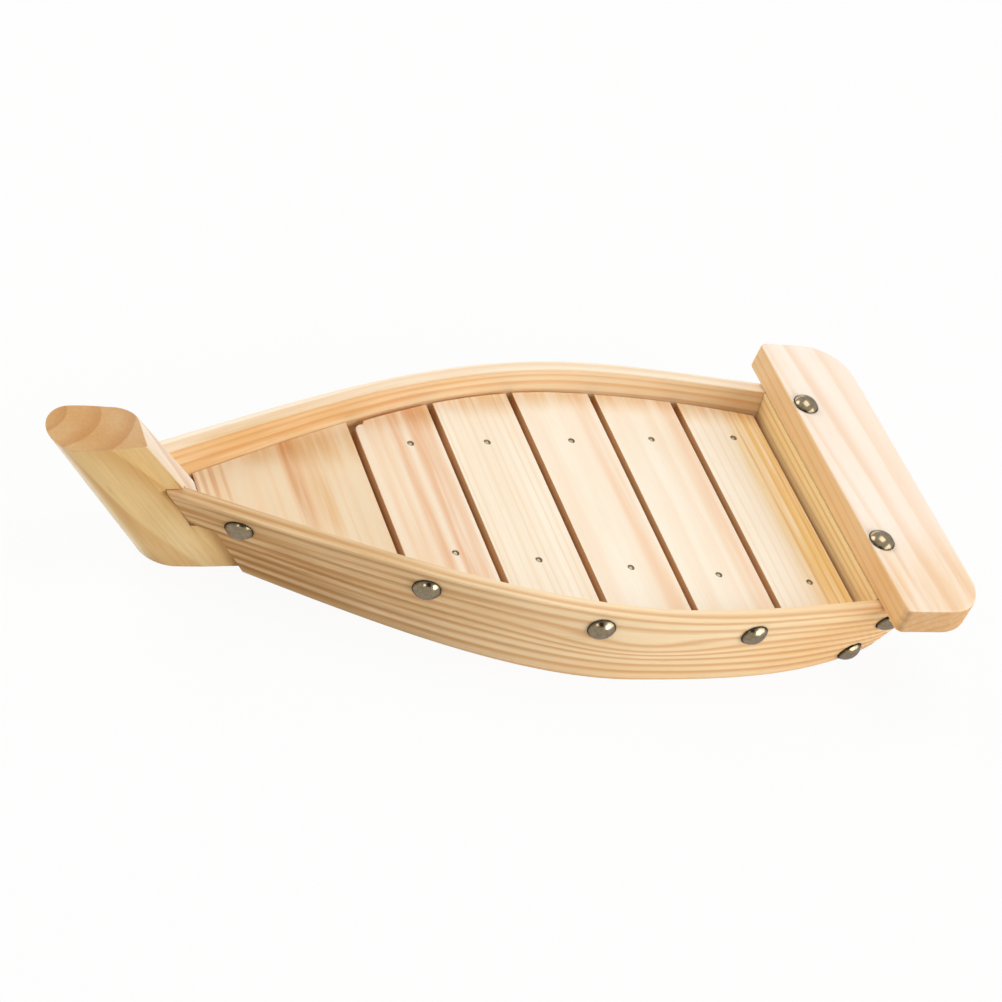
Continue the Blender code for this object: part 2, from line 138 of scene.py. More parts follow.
def ease(tree, value, low, high, start=0.0, end=1.0):
    # smooth step of value between low and high
    made = tree.nodes.new("ShaderNodeMapRange")
    made.interpolation_type = "SMOOTHSTEP"
    feed(tree, made.inputs["Value"], value)
    feed(tree, made.inputs["From Min"], low)
    feed(tree, made.inputs["From Max"], high)
    feed(tree, made.inputs["To Min"], start)
    feed(tree, made.inputs["To Max"], end)
    return made.outputs["Result"]


def cloudNoise(tree, place, stretch, seed, detail=2.0, output="Fac"):
    scaled = vectorMaths(tree, "MULTIPLY", place, stretch)
    made = tree.nodes.new("ShaderNodeTexNoise")
    made.noise_dimensions = "4D"
    feed(tree, made.inputs["Vector"], scaled)
    feed(tree, made.inputs["W"], seed)
    feed(tree, made.inputs["Scale"], 1.0)
    feed(tree, made.inputs["Detail"], detail)
    return made.outputs[output]


def addBump(tree, shader, height, strength, depth):
    bump = tree.nodes.new("ShaderNodeBump")
    bump.inputs["Strength"].default_value = strength
    bump.inputs["Distance"].default_value = depth
    tree.links.new(height, bump.inputs["Height"])
    tree.links.new(bump.outputs["Normal"], shader.inputs["Normal"])


def blendShaders(tree, amount, first, second):
    mix = tree.nodes.new("ShaderNodeMixShader")
    feed(tree, mix.inputs[0], amount)
    tree.links.new(first.outputs[0], mix.inputs[1])
    tree.links.new(second.outputs[0], mix.inputs[2])
    tree.links.new(mix.outputs[0], tree.nodes["Material Output"].inputs["Surface"])


def newMaterial(name):
    material = bpy.data.materials.new(name)
    material.use_nodes = True
    return material, material.node_tree, material.node_tree.nodes["Principled BSDF"]


def newGroup(name, inputs, outputs):
    group = bpy.data.node_groups.new(name, "ShaderNodeTree")
    for label, kind in inputs:
        group.interface.new_socket(label, in_out="INPUT", socket_type="NodeSocket" + kind)
    for label, kind in outputs:
        group.interface.new_socket(label, in_out="OUTPUT", socket_type="NodeSocket" + kind)
    return group, group.nodes.new("NodeGroupInput").outputs, group.nodes.new("NodeGroupOutput").inputs


# pine: growth rings round a pith line, with fibre and resin dashes, for a place whose X runs along the grain

pineFigure = {
    "wavyStretch": (7, 45, 45),  # noise per metre, along and across the grain
    "cloudStretch": (9, 70, 70),
    "fibreStretch": (40, 1500, 1500),
    "dashStretch": (170, 1900, 1900),
    "cloudEdges": (0.34, 0.68),
    "dashEdges": (0.70, 0.80),
    "dashAmount": 0.22,
    "cloudSeed": 3.7,
    "dashSeed": 9.1,
    "ringSeed": 13.0,
    "ringRate": 0.55,
    "ringFade": -0.45,
    "bellBase": 2.718,
    "roughness": 0.58,
    "fibreRough": 0.16,
    "lateRough": -0.06,
    "lateHeight": 0.2,
    "dashHeight": -0.5,
}


def makePineGroup(s):
    inputs = [("Place", "Vector"), ("Pith Across", "Float"), ("Pith Deep", "Float"), ("Lean Across", "Float"),
              ("Lean Deep", "Float"), ("Ring Pitch", "Float"), ("Wander", "Float"), ("Late Width", "Float"),
              ("Late Edge", "Float"), ("Uneven", "Float"), ("Swirl Place", "Vector"), ("Swirl Size", "Vector"),
              ("Swirl Lift", "Float"), ("Seed", "Float"), ("Pale", "Color"), ("Warm", "Color"), ("Late", "Color"),
              ("Late Amount", "Float"), ("Fibre Amount", "Float")]
    outputs = [("Color", "Color"), ("Roughness", "Float"), ("Height", "Float")]
    tree, given, made = newGroup("pineWood", inputs, outputs)
    place, seed = given["Place"], given["Seed"]
    wavy = cloudNoise(tree, place, s["wavyStretch"], seed, 2.0, "Color")
    drift = scaleVector(tree, vectorMaths(tree, "SUBTRACT", wavy, (0.5, 0.5, 0.5)), given["Wander"])
    moved = tree.nodes.new("ShaderNodeSeparateXYZ")
    feed(tree, moved.inputs[0], vectorMaths(tree, "ADD", place, drift))
    across = maths(tree, "SUBTRACT", moved.outputs["Y"], given["Pith Across"])
    across = maths(tree, "SUBTRACT", across, maths(tree, "MULTIPLY", moved.outputs["X"], given["Lean Across"]))
    deep = maths(tree, "SUBTRACT", moved.outputs["Z"], given["Pith Deep"])
    deep = maths(tree, "SUBTRACT", deep, maths(tree, "MULTIPLY", moved.outputs["X"], given["Lean Deep"]))
    radius = maths(tree, "SQRT", maths(tree, "ADD", maths(tree, "MULTIPLY", across, across),
                                       maths(tree, "MULTIPLY", deep, deep)))
    away = vectorMaths(tree, "DIVIDE", vectorMaths(tree, "SUBTRACT", place, given["Swirl Place"]),
                       given["Swirl Size"])
    far = vectorMaths(tree, "DOT_PRODUCT", away, away)
    fade = maths(tree, "POWER", s["bellBase"], maths(tree, "MULTIPLY", far, -1.0))
    radius = maths(tree, "ADD", radius, maths(tree, "MULTIPLY", fade, given["Swirl Lift"]))
    count = maths(tree, "DIVIDE", radius, given["Ring Pitch"])
    uneven = tree.nodes.new("ShaderNodeTexNoise")  # rings of unequal width
    uneven.noise_dimensions = "1D"
    feed(tree, uneven.inputs["W"], maths(tree, "MULTIPLY_ADD", count, s["ringRate"], seed))
    feed(tree, uneven.inputs["Scale"], 1.0)
    feed(tree, uneven.inputs["Detail"], 1.0)
    count = maths(tree, "ADD", count, maths(tree, "MULTIPLY", uneven.outputs["Fac"], given["Uneven"]))
    within = maths(tree, "FRACT", count)
    chance = tree.nodes.new("ShaderNodeTexWhiteNoise")
    chance.noise_dimensions = "1D"
    ring = maths(tree, "FLOOR", count)
    feed(tree, chance.inputs["W"], maths(tree, "ADD", ring, maths(tree, "MULTIPLY", seed, s["ringSeed"])))
    peak = maths(tree, "SUBTRACT", 1.0, given["Late Edge"])
    rise = ease(tree, within, maths(tree, "SUBTRACT", peak, given["Late Width"]), peak)
    fall = ease(tree, within, peak, 1.0, 1.0, 0.0)
    weaker = maths(tree, "MULTIPLY", chance.outputs["Value"], given["Uneven"])
    strength = maths(tree, "MULTIPLY_ADD", weaker, s["ringFade"], 1.0)
    late = maths(tree, "MULTIPLY", maths(tree, "MULTIPLY", rise, fall), strength)
    cloud = cloudNoise(tree, place, s["cloudStretch"], maths(tree, "ADD", seed, s["cloudSeed"]))
    cloud = ease(tree, cloud, *s["cloudEdges"])
    fibre = cloudNoise(tree, place, s["fibreStretch"], seed, 3.0)
    dash = cloudNoise(tree, place, s["dashStretch"], maths(tree, "ADD", seed, s["dashSeed"]), 0.0)
    dash = ease(tree, dash, *s["dashEdges"])
    colour = blendColour(tree, cloud, given["Pale"], given["Warm"])
    colour = blendColour(tree, maths(tree, "MULTIPLY", late, given["Late Amount"]), colour, given["Late"])
    colour = blendColour(tree, maths(tree, "MULTIPLY", dash, s["dashAmount"]), colour, given["Late"])
    swing = maths(tree, "MULTIPLY", maths(tree, "SUBTRACT", fibre, 0.5), given["Fibre Amount"])
    feed(tree, made["Color"], scaleVector(tree, colour, maths(tree, "ADD", swing, 1.0)))
    rough = maths(tree, "MULTIPLY_ADD", fibre, s["fibreRough"], s["roughness"])
    feed(tree, made["Roughness"], maths(tree, "MULTIPLY_ADD", late, s["lateRough"], rough))
    height = maths(tree, "MULTIPLY_ADD", late, s["lateHeight"], fibre)
    feed(tree, made["Height"], maths(tree, "MULTIPLY_ADD", dash, s["dashHeight"], height))
    return tree


# a soft-edged tint round one place, for heartwood and pitch streaks, and for painted shade at the bow and in corners
# and painted light on the stem's foot

tintFigure = {
    "wavyStretch": (14, 160, 160),
    "wavyReach": (0.9, 0.9, 0.9),
    "edges": (0.3, 1.35),
    "patchStretch": (24, 420, 420),
    "patchSeed": 5.3,
    "patchEdges": (0.28, 0.62),
    "patchLeast": 0.4,
}


def makeTintGroup(s):
    inputs = [("Color", "Color"), ("Place", "Vector"), ("Middle", "Vector"), ("Reach", "Vector"),
              ("Tint", "Color"), ("Amount", "Float"), ("Seed", "Float")]
    tree, given, made = newGroup("tintAndPaintedLight", inputs, [("Color", "Color")])
    place, seed = given["Place"], given["Seed"]
    wavy = cloudNoise(tree, place, s["wavyStretch"], seed, 3.0, "Color")
    drift = vectorMaths(tree, "MULTIPLY", vectorMaths(tree, "SUBTRACT", wavy, (0.5, 0.5, 0.5)), s["wavyReach"])
    away = vectorMaths(tree, "DIVIDE", vectorMaths(tree, "SUBTRACT", place, given["Middle"]), given["Reach"])
    far = vectorMaths(tree, "LENGTH", vectorMaths(tree, "ADD", away, drift))
    patchy = cloudNoise(tree, place, s["patchStretch"], maths(tree, "ADD", seed, s["patchSeed"]))
    mask = maths(tree, "MULTIPLY", ease(tree, far, *s["edges"], 1.0, 0.0),
                 ease(tree, patchy, *s["patchEdges"], s["patchLeast"], 1.0))
    mask = maths(tree, "MULTIPLY", mask, given["Amount"])
    feed(tree, made["Color"], blendColour(tree, mask, given["Color"], given["Tint"], "MULTIPLY"))
    return tree


pineWood = makePineGroup(pineFigure)
tintAndPaintedLight = makeTintGroup(tintFigure)

# what a board's own settings leave out
plainPine = {
    "attribute": None,  # takes the place of object coordinates where it is set
    "turn": (0, 0, 0),
    "lean": (0, 0),
    "wander": 0.003,
    "lateWidth": 0.55,
    "lateEdge": 0.14,
    "lateAmount": 0.8,
    "uneven": 1.0,
    "swirlPlace": (0, 0, 0),
    "swirlSize": (1, 1, 1),
    "swirlLift": 0.0,
    "fibre": 0.16,
    "faces": [],
    "tints": [],
    "faceEdges": (0.5, 0.85),
    "specular": 0.22,
    "bump": 0.22,
    "bumpDepth": 0.00012,
}

pineLabels = {
    "Ring Pitch": "pitch", "Wander": "wander", "Late Width": "lateWidth", "Late Edge": "lateEdge",
    "Uneven": "uneven", "Swirl Place": "swirlPlace", "Swirl Size": "swirlSize", "Swirl Lift": "swirlLift",
    "Seed": "seed", "Pale": "pale", "Warm": "warm", "Late": "late", "Late Amount": "lateAmount",
    "Fibre Amount": "fibre",
}


def pineMaterial(name, figure):
    s = {**plainPine, **figure}
    material, tree, shader = newMaterial(name)
    shader.inputs["Specular IOR Level"].default_value = s["specular"]
    if s["attribute"]:
        source = tree.nodes.new("ShaderNodeAttribute")
        source.attribute_name = s["attribute"]
        place = source.outputs["Vector"]
    else:
        source = tree.nodes.new("ShaderNodeTexCoord")
        mapping = tree.nodes.new("ShaderNodeMapping")
        mapping.inputs["Rotation"].default_value = [math.radians(angle) for angle in s["turn"]]
        tree.links.new(source.outputs["Object"], mapping.inputs["Vector"])
        place = mapping.outputs["Vector"]
    wood = tree.nodes.new("ShaderNodeGroup")
    wood.node_tree = pineWood
    tree.links.new(place, wood.inputs["Place"])
    for label, key in pineLabels.items():
        wood.inputs[label].default_value = s[key]
    for label, key in (("Pith", "pith"), ("Lean", "lean")):
        for way, value in zip(("Across", "Deep"), s[key]):
            wood.inputs[label + " " + way].default_value = value
    colour = wood.outputs["Color"]
    facing = tree.nodes.new("ShaderNodeNewGeometry").outputs["Normal"]
    # tints by the way a face looks: darker end grain, painted shade on the deck plank edges and painted light on the
    # stem's back face
    for face in s["faces"]:
        turned = ease(tree, vectorMaths(tree, "DOT_PRODUCT", facing, face["axis"]), *s["faceEdges"])
        colour = blendColour(tree, turned, colour, face["tint"], "MULTIPLY")
    for number, tint in enumerate(s["tints"]):
        patch = tree.nodes.new("ShaderNodeGroup")
        patch.node_tree = tintAndPaintedLight
        tree.links.new(colour, patch.inputs["Color"])
        tree.links.new(place, patch.inputs["Place"])
        for label, key in (("Middle", "middle"), ("Reach", "reach"), ("Tint", "colour"), ("Amount", "amount")):
            patch.inputs[label].default_value = tint[key]
        patch.inputs["Seed"].default_value = s["seed"] + number
        colour = patch.outputs["Color"]
    tree.links.new(colour, shader.inputs["Base Color"])
    tree.links.new(wood.outputs["Roughness"], shader.inputs["Roughness"])
    addBump(tree, shader, wood.outputs["Height"], s["bump"], s["bumpDepth"])
    return material


def dress(node, material):
    slots = nodes[node].data.materials
    slots.clear()
    slots.append(material)


def makeObject(name, bm, material):
    mesh = bpy.data.meshes.new(name)
    bm.to_mesh(mesh)
    bm.free()
    mesh.materials.append(material)
    made = bpy.data.objects.new(name, mesh)
    scene.collection.objects.link(made)
    return made


def addPiece(name, bm, material, slot, *replaced):
    piece = makeObject(name, bm, material)
    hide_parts(*replaced)
    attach(piece, "root")
    return piece


def evenShading(piece, weight=80):
    piece.data.shade_smooth()
    piece.modifiers.new("evenShading", "WEIGHTED_NORMAL").weight = weight


def softenEdges(bm, edges, width, steps):
    bmesh.ops.bevel(bm, geom=edges, offset=width, affect="EDGES", segments=steps, profile=0.5, material=-1)


def roundCorners(bm, verts, radius, steps):
    bmesh.ops.bevel(bm, geom=verts, offset=radius, offset_type="OFFSET", affect="VERTICES", segments=steps,
                    profile=0.5, material=-1)


# hull lines, in metres: half-breadths of the inner face of the side boards

hull = {
    "transom": 0.1452,
    "height": 0.038,
    "thickness": 0.006,
    "end": 0.165,
    "heelRadius": 0.004,
    "topBow": (-0.13256, 0.0086, 0.432),
    "topBeam": (0.0614, 0.0674),
    "topStern": (0.06045, -0.107),
    "baseBow": (-0.09798, 0.0076, 0.564),
    "baseBeam": (0.0486, 0.0625),
    "baseStern": (0.0514, -0.336),
    "stemTop": (-0.1508, 0.058),
    "stemRake": 0.97929,
    "shoulderRake": 0.79829,
    "upperDepth": 0.0103,
    "lowerDepth": 0.0010,
    "stepHeight": 0.0208,
    "clearance": 0.0003,
}


def stemBack(z):
    return hull["stemTop"][0] + hull["stemRake"] * (hull["stemTop"][1] - z)


def shoulder(z, depth):
    return stemBack(hull["stepHeight"]) - depth - hull["shoulderRake"] * (z - hull["stepHeight"])


def hermite(x, x0, y0, slope0, x1, y1, slope1):
    span = x1 - x0
    t = (x - x0) / span
    start = (2 * t**3 - 3 * t**2 + 1) * y0 + (t**3 - 2 * t**2 + t) * span * slope0
    return start + (3 * t**2 - 2 * t**3) * y1 + (t**3 - t**2) * span * slope1


def halfBreadth(x, bow, beam, stern):
    if x < beam[0]:
        return hermite(x, *bow, *beam, 0)
    return hermite(x, *beam, 0, hull["transom"], *stern)


def innerHalf(x, z):
    top = halfBreadth(x, hull["topBow"], hull["topBeam"], hull["topStern"])
    base = halfBreadth(x, hull["baseBow"], hull["baseBeam"], hull["baseStern"])
    return base + (top - base) * z / hull["height"]


def hullSlopes(x, z, step=0.0005):
    along = (innerHalf(x + step, z) - innerHalf(x - step, z)) / (2 * step)
    upward = (innerHalf(x, z + step) - innerHalf(x, z - step)) / (2 * step)
    return along, upward


def outerHalf(x, z):
    along, upward = hullSlopes(x, z)
    return innerHalf(x, z) + hull["thickness"] * math.sqrt(1 + along**2 + upward**2)


def outward(x, z, side):
    along, upward = hullSlopes(x, z)
    return Vector((-along, side, -upward)).normalized()


# side boards, bent from flat stock: the side outline is drawn flat, sliced, thickened and laid on the hull

boardSettings = {
    "slice": 0.004,
    "firstSlice": -0.1337,
    "lastSlice": 0.1585,
    "weld": 1e-6,
    "sharp": 35,
    "edge": 0.0004,
    "edgeSteps": 3,
    "reach": 0.00027,  # into the clearance at the stem's shoulder
    "heelSteps": 8,
    "runStart": -0.142,
    "runStep": 0.002,
    "runHeight": 0.019,
}

boardWood = {
    "attribute": "boardPlace",
    "pith": (-0.075, -0.070),
    "pitch": 0.0033,
    "wander": 0.0028,
    "uneven": 0.4,
    "lateWidth": 0.46,
    "lateEdge": 0.30,
    "swirlPlace": (0.196, 0.006, 0.021),
    "swirlSize": (0.040, 0.03, 0.0065),
    "swirlLift": 0.0052,
    "pale": tone(250, 224, 184),
    "warm": tone(246, 214, 168),
    "late": tone(213, 149, 80),
    "lateAmount": 0.68,
    "fibre": 0.14,
    "seed": 4.2,
    # first tint: painted shade, the board darker and browner towards the bow, where less light falls
    "tints": [{"middle": (0.0, 0.006, 0.015), "reach": (0.16, 0.03, 0.036), "colour": tone(196, 172, 133),
               "amount": 0.95},
              {"middle": (0.305, 0.006, 0.019), "reach": (0.05, 0.03, 0.06), "colour": tone(243, 224, 192),
               "amount": 0.8}],
}

farWood = {
    "attribute": "boardPlace",
    "pith": (-0.120, -0.100),
    "pitch": 0.0024,
    "wander": 0.0026,
    "uneven": 0.9,
    "lateWidth": 0.5,
    "lateEdge": 0.22,
    "pale": tone(251, 237, 214),
    "warm": tone(249, 229, 200),
    "late": tone(234, 184, 128),
    "lateAmount": 0.65,
    "fibre": 0.12,
    "seed": 11.3,
    "faces": [{"axis": (0, -1, 0), "tint": tone(252, 243, 226)}, {"axis": (0, 1, 0), "tint": tone(240, 216, 180)}],
    "tints": [{"middle": (0.0, 0.0, 0.030), "reach": (0.19, 0.004, 0.06), "colour": tone(238, 213, 175),
               "amount": 0.9},
              {"middle": (0.34, 0.0, 0.030), "reach": (0.09, 0.004, 0.06), "colour": tone(244, 228, 204),
               "amount": 0.7}],
}


def lengthAlong(x, s):
    # run of the bent board from the bow, at mid height
    total, place, step = 0.0, s["runStart"], s["runStep"]
    while place < x:
        along = hullSlopes(place, s["runHeight"])[0]
        total += min(step, x - place) * math.sqrt(1 + along**2)
        place += step
    return total


def buildSideBoard(name, side, wood, node, s):
    step, height, end = hull["stepHeight"], hull["height"], hull["end"]
    bm = bmesh.new()
    upper, lower = hull["upperDepth"] + s["reach"], hull["lowerDepth"] + s["reach"]
    outline = [(shoulder(0, lower), 0)]
    for i in range(s["heelSteps"] + 1):
        angle = math.radians(-90 + 90 * i / s["heelSteps"])
        radius = hull["heelRadius"]
        outline.append((end - radius + radius * math.cos(angle), radius + radius * math.sin(angle)))
    outline += [(end, height), (shoulder(height, upper), height), (shoulder(step, upper), step),
                (shoulder(step, lower), step)]
    bm.faces.new([bm.verts.new((x, 0, z)) for x, z in outline])
    x = s["firstSlice"]
    while x <= s["lastSlice"]:
        bmesh.ops.bisect_plane(bm, geom=bm.verts[:] + bm.edges[:] + bm.faces[:], dist=s["weld"],
                               plane_co=(x, 0, 0), plane_no=(1, 0, 0))
        x += s["slice"]
    inner = bm.verts[:]
    grown = bmesh.ops.extrude_face_region(bm, geom=bm.faces[:], use_keep_orig=True)
    outer = [item for item in grown["geom"] if isinstance(item, bmesh.types.BMVert)]
    for vert in inner:
        vert.co.y = side * innerHalf(vert.co.x, vert.co.z)
    for vert in outer:
        vert.co.y = side * outerHalf(vert.co.x, vert.co.z)
    bmesh.ops.recalc_face_normals(bm, faces=bm.faces)
    sharp = math.radians(s["sharp"])
    edges = [edge for edge in bm.edges if edge.is_manifold and edge.calc_face_angle() > sharp]
    softenEdges(bm, edges, s["edge"], s["edgeSteps"])
    piece = addPiece(name, bm, wood, "pine_side", node)
    place = piece.data.attributes.new(boardWood["attribute"], "FLOAT_VECTOR", "POINT")
    runs = {}
    for vert, slot in zip(piece.data.vertices, place.data):
        x, y, z = vert.co
        key = round(x, 4)
        if key not in runs:
            runs[key] = lengthAlong(x, s)
        slot.vector = (runs[key], side * y - innerHalf(x, z), z)
    evenShading(piece)


sidePine = pineMaterial("sidePine", boardWood)
farPine = pineMaterial("farPine", farWood)
buildSideBoard("portBoard", -1, sidePine, "port_side_board", boardSettings)
buildSideBoard("starboardBoard", 1, farPine, "starboard_side_board", boardSettings)
print("side boards done")


# bow stem: the solid's own shape, with its round nose shaded smooth and the rim of its top eased

stemSettings = {
    "node": "bow_stem",
    "weld": 0.000002,
    "flat": 0.4,
    "smooth": 24,
    "rim": 0.0005,
    "rimSteps": 3,
}

stemWood = {
    "turn": (0, 132.3, 0),  # grain runs along the lean
    "pith": (0.01157, 0.07787),
    "lean": (0.0, 0.191),
    "pitch": 0.0087,
    "wander": 0.0016,
    "uneven": 0.25,
    "lateWidth": 0.55,
    "lateEdge": 0.07,
    "pale": tone(252, 237, 210),
    "warm": tone(245, 218, 177),
    "late": tone(214, 162, 104),
    "lateAmount": 0.46,
    "fibre": 0.3,
    # the top face is end grain and darker; the back face is painted paler, as strong light leaves it, and the flanks
    # are a darker tan
    "faces": [{"axis": (-0.35, 0, 0.94), "tint": tone(220, 190, 152)},
              {"axis": (0.72, 0, 0.69), "tint": tone(243, 242, 250)},
              {"axis": (0, -1, 0), "tint": tone(229, 208, 166)},
              {"axis": (0, 1, 0), "tint": tone(229, 208, 166)}],
    "tints": [{"middle": (0.078, 0.0, 0.088), "reach": (0.03, 0.2, 0.2), "colour": tone(273, 283, 300),
               "amount": 1.0}],  # over 255: painted light, so the foot and low end of the stem come out paler, as if more light fell there
    "seed": 2.6,
}


def buildStem(s, material):
    bm = bmesh.new()
    bm.from_mesh(nodes[s["node"]].data)
    bmesh.ops.remove_doubles(bm, verts=bm.verts, dist=s["weld"])
    bmesh.ops.dissolve_limit(bm, angle_limit=math.radians(s["flat"]), verts=bm.verts, edges=bm.edges)
    top = max(bm.faces, key=lambda face: face.calc_center_median().z)
    softenEdges(bm, top.edges[:], s["rim"], s["rimSteps"])
    piece = addPiece("stemPost", bm, material, "pine_stem", s["node"])
    piece.data.shade_smooth()
    piece.data.set_sharp_from_angle(angle=math.radians(s["smooth"]))


buildStem(stemSettings, pineMaterial("stemPine", stemWood))
print("stem done")


# deck: grain runs athwart, so every plank is turned a quarter and has its own figure

deckSettings = {
    "top": 0.028,
    "tintDepth": 0.05,
    "shadePast": 0.003,
    "shadeReach": (0.013, 0.05, 0.05),
    "shade": tone(238, 208, 164),
    "shadeAmount": 0.8,
}

# what the boards of the deck share
deckWood = {
    "turn": (0, 0, -90),
    "pith": (0.0, -0.09),
    "pale": tone(252, 240, 220),
    "warm": tone(249, 231, 205),
    "fibre": 0.09,
    # painted shade: plank edges that face the gaps are darker brown, as the gaps between planks are in shade
    "faces": [{"axis": (-1, 0, 0), "tint": tone(226, 190, 150)}, {"axis": (1, 0, 0), "tint": tone(226, 190, 150)}],
}


def streak(x, width, colour, amount, y=0.0, length=0.4):
    # a coloured band along the grain of a deck board, at one place along the boat
    return {"middle": (y, -x, deckSettings["top"]), "reach": (length, width, deckSettings["tintDepth"]),
            "colour": colour, "amount": amount}


plankWoods = {
    "deck_plank_1": {
        "pitch": 0.0060, "lateWidth": 0.7, "late": tone(242, 207, 170), "lateAmount": 0.45, "seed": 5.1,
        "pith": (-0.120, -0.02), "pale": tone(249, 234, 212), "warm": tone(245, 224, 196),
        "tints": [streak(-0.0305, 0.0030, tone(240, 204, 174), 0.75),
                  streak(-0.0210, 0.0042, tone(238, 200, 170), 0.8),
                  streak(-0.0155, 0.0024, tone(242, 210, 182), 0.6),
                  streak(-0.0400, 0.0050, tone(248, 226, 200), 0.5)]},
    "deck_plank_2": {
        "pitch": 0.0038, "lateWidth": 0.35, "late": tone(236, 202, 156), "lateAmount": 0.45, "seed": 7.9,
        "pith": (-0.12, 0.0)},
    "deck_plank_3": {
        "pitch": 0.0056, "lateWidth": 0.7, "late": tone(248, 218, 190), "lateAmount": 0.36, "seed": 3.3,
        "tints": [streak(0.0600, 0.0045, tone(248, 224, 204), 0.7)]},
    "deck_plank_4": {
        "pitch": 0.007, "lateWidth": 0.8, "late": tone(247, 216, 186), "lateAmount": 0.4, "seed": 9.4,
        "tints": [streak(0.0995, 0.0045, tone(248, 226, 206), 0.6)]},
    "deck_plank_5": {
        "pitch": 0.0044, "lateWidth": 0.3, "late": tone(240, 204, 156), "lateAmount": 0.35, "seed": 6.2,
        "pith": (-0.25, 0.0), "wander": 0.002, "uneven": 0.5,
        "tints": [streak(0.1410, 0.0150, tone(244, 219, 157), 0.95),
                  streak(0.1308, 0.0008, tone(236, 190, 120), 0.6),
                  streak(0.1355, 0.0007, tone(234, 186, 116), 0.6),
                  streak(0.1393, 0.0008, tone(230, 180, 110), 0.6)]},
    "bow_deck_board": {
        "pitch": 0.0056, "lateWidth": 0.35, "late": tone(236, 194, 144), "lateAmount": 0.4, "seed": 8.8,
        "pith": (0.12, 0.0), "pale": tone(241, 219, 187), "warm": tone(236, 209, 172),
        "tints": [streak(-0.0805, 0.0036, tone(232, 188, 148), 0.8, 0.016, 0.05),
                  streak(-0.0715, 0.0050, tone(242, 212, 172), 0.7, -0.004, 0.026),
                  streak(-0.1210, 0.0010, tone(222, 176, 138), 0.75, 0.008, 0.016),
                  streak(-0.1178, 0.0010, tone(224, 180, 146), 0.75, 0.006, 0.016),
                  streak(-0.1140, 0.0013, tone(226, 182, 150), 0.75, 0.006, 0.018),
                  streak(-0.1095, 0.0010, tone(236, 200, 168), 0.6, 0.008, 0.018)]},
}


battenWood = {
    "pith": (0.03, -0.05),
    "pitch": 0.0036,
    "pale": tone(240, 208, 160),
    "warm": tone(232, 194, 142),
    "late": tone(200, 142, 84),
    "seed": 12.5,
}


def farShade(x, s):
    # painted shade, warm, on the plank ends beside the starboard board
    return {"middle": (innerHalf(x, s["top"]) + s["shadePast"], -x, s["top"]), "reach": s["shadeReach"],
            "colour": s["shade"], "amount": s["shadeAmount"]}


for node, changes in plankWoods.items():
    low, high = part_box(node)
    tints = changes.get("tints", []) + [farShade((low.x + high.x) / 2, deckSettings)]
    dress(node, pineMaterial(node.replace("_", "") + "Pine", {**deckWood, **changes, "tints": tints}))

battenPine = pineMaterial("battenPine", battenWood)
dress("port_deck_batten", battenPine)
dress("starboard_deck_batten", battenPine)
print("deck done")


# stern: transom under a rounded top board, grain athwart in both

transomWood = {
    "turn": (0, 0, -90),
    "pith": (-0.12, 0.12),
    "pitch": 0.0031,
    "lateWidth": 0.5,
    "pale": tone(252, 228, 174),
    "warm": tone(250, 220, 160),
    "late": tone(230, 174, 104),
    "lateAmount": 0.7,
    "uneven": 0.7,
    "seed": 15.7,
}

sternSettings = {
    "front": 0.1452,
    "depth": 0.0398,
    "length": 0.1576,
    "low": 0.0383,
    "thickness": 0.012,
    "aftRadius": 0.019,
    "aftSteps": 20,
    "frontRadius": 0.003,
    "frontSteps": 6,
    "near": 0.0001,
    "sharp": 60,
    "edge": 0.0011,
    "edgeSteps": 4,
}

sternWood = {
    "turn": (0, 0, -90),
    "pith": (-0.195, -0.05),
    "lean": (0.06, 0.0),
    "pitch": 0.0036,
    "wander": 0.0035,
    "lateWidth": 0.5,
    "pale": tone(253, 239, 223),
    "warm": tone(251, 232, 212),
    "late": tone(240, 198, 160),
    "lateAmount": 0.5,
    "fibre": 0.07,
    "faces": [{"axis": (-1, 0, 0), "tint": tone(247, 225, 184)}, {"axis": (0, -1, 0), "tint": tone(220, 198, 167)},
              {"axis": (0, 1, 0), "tint": tone(220, 198, 167)}],
    "tints": [{"middle": (-0.078, -0.165, 0.05), "reach": (0.042, 0.06, 0.06), "colour": tone(247, 230, 204),
               "amount": 0.9}],
    "seed": 21.4,
}


def buildSternBoard(s, material):
    half = s["length"] / 2
    front, aft = s["front"], s["front"] + s["depth"]
    bm = bmesh.new()
    corners = [bm.verts.new((x, y, s["low"])) for x, y in ((front, -half), (aft, -half), (aft, half), (front, half))]
    bm.faces.new(corners)
    roundCorners(bm, corners[1:3], s["aftRadius"], s["aftSteps"])
    fore = [vert for vert in bm.verts if vert.co.x < front + s["near"]]
    roundCorners(bm, fore, s["frontRadius"], s["frontSteps"])
    grown = bmesh.ops.extrude_face_region(bm, geom=bm.faces[:], use_keep_orig=True)
    raised = [item for item in grown["geom"] if isinstance(item, bmesh.types.BMVert)]
    bmesh.ops.translate(bm, verts=raised, vec=(0, 0, s["thickness"]))
    bmesh.ops.recalc_face_normals(bm, faces=bm.faces)
    rim = [edge for edge in bm.edges if edge.calc_face_angle() > math.radians(s["sharp"])]
    softenEdges(bm, rim, s["edge"], s["edgeSteps"])
    evenShading(addPiece("sternBoard", bm, material, "pine_stern", "stern_top_board"))


dress("transom_board", pineMaterial("transomPine", transomWood))
buildSternBoard(sternSettings, pineMaterial("sternPine", sternWood))
print("stern done")


# dome nails and brads, turned from a profile

